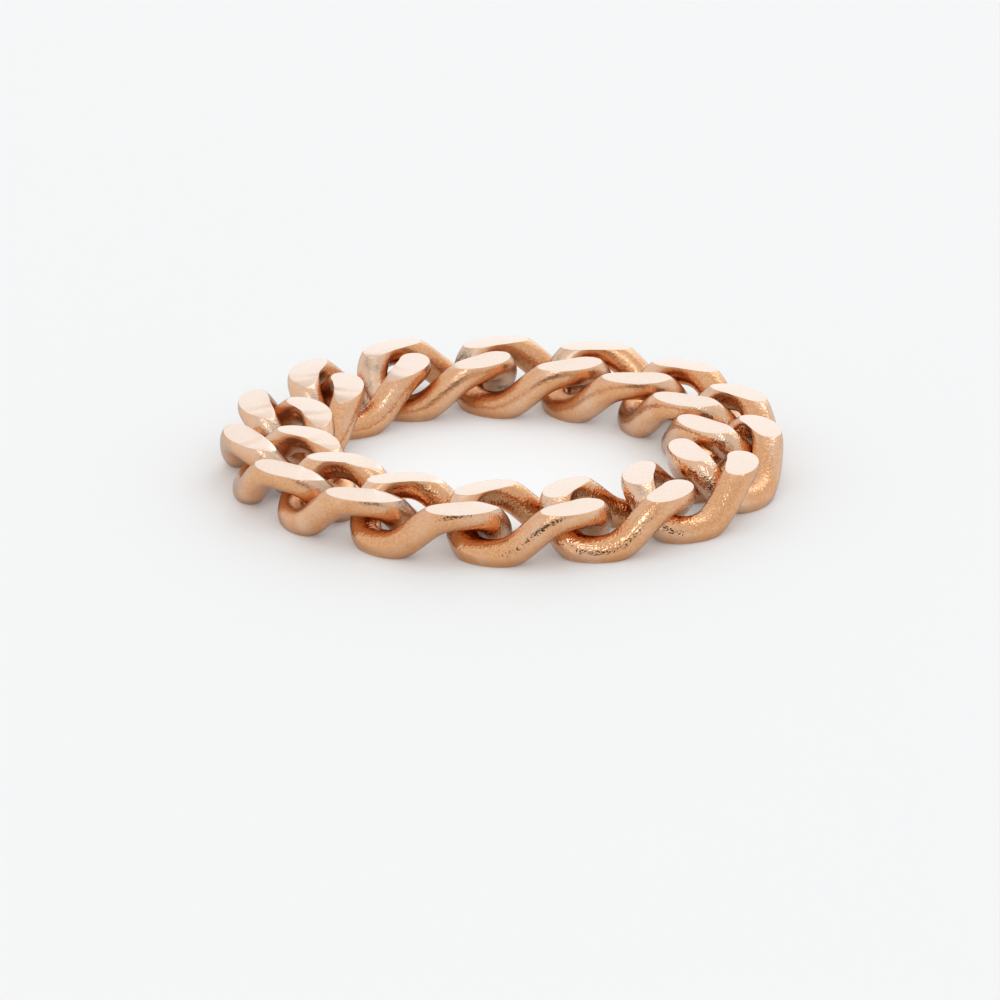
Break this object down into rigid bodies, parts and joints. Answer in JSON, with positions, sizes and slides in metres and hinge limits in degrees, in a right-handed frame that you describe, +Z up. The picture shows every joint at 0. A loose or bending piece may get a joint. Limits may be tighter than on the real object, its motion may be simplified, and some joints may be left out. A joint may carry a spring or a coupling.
{
  "type": "finger ring",
  "caption": "Rose gold finger ring made of a closed curb chain: interlocked twisted oval links, cut flat and polished on both faces, lying flat.",
  "frame": {"origin": "under the middle of the ring's box, on the surface that the ring lies on", "axes": "+Z up, along the axis of the finger opening; +X to the right and -Y towards the viewer as the ring lies in the picture"},
  "size_m": [0.0254, 0.0244, 0.0025],
  "materials": {
    "rose_gold": "fine satin wire with polished flats, rose gold colour"
  },
  "bodies": {
    "root": {"link_01": "rose_gold", "link_02": "rose_gold", "link_03": "rose_gold", "link_04": "rose_gold", "link_05": "rose_gold", "link_06": "rose_gold", "link_07": "rose_gold", "link_08": "rose_gold", "link_09": "rose_gold", "link_10": "rose_gold", "link_11": "rose_gold", "link_12": "rose_gold", "link_13": "rose_gold", "link_14": "rose_gold", "link_15": "rose_gold"}
  },
  "joints": []
}
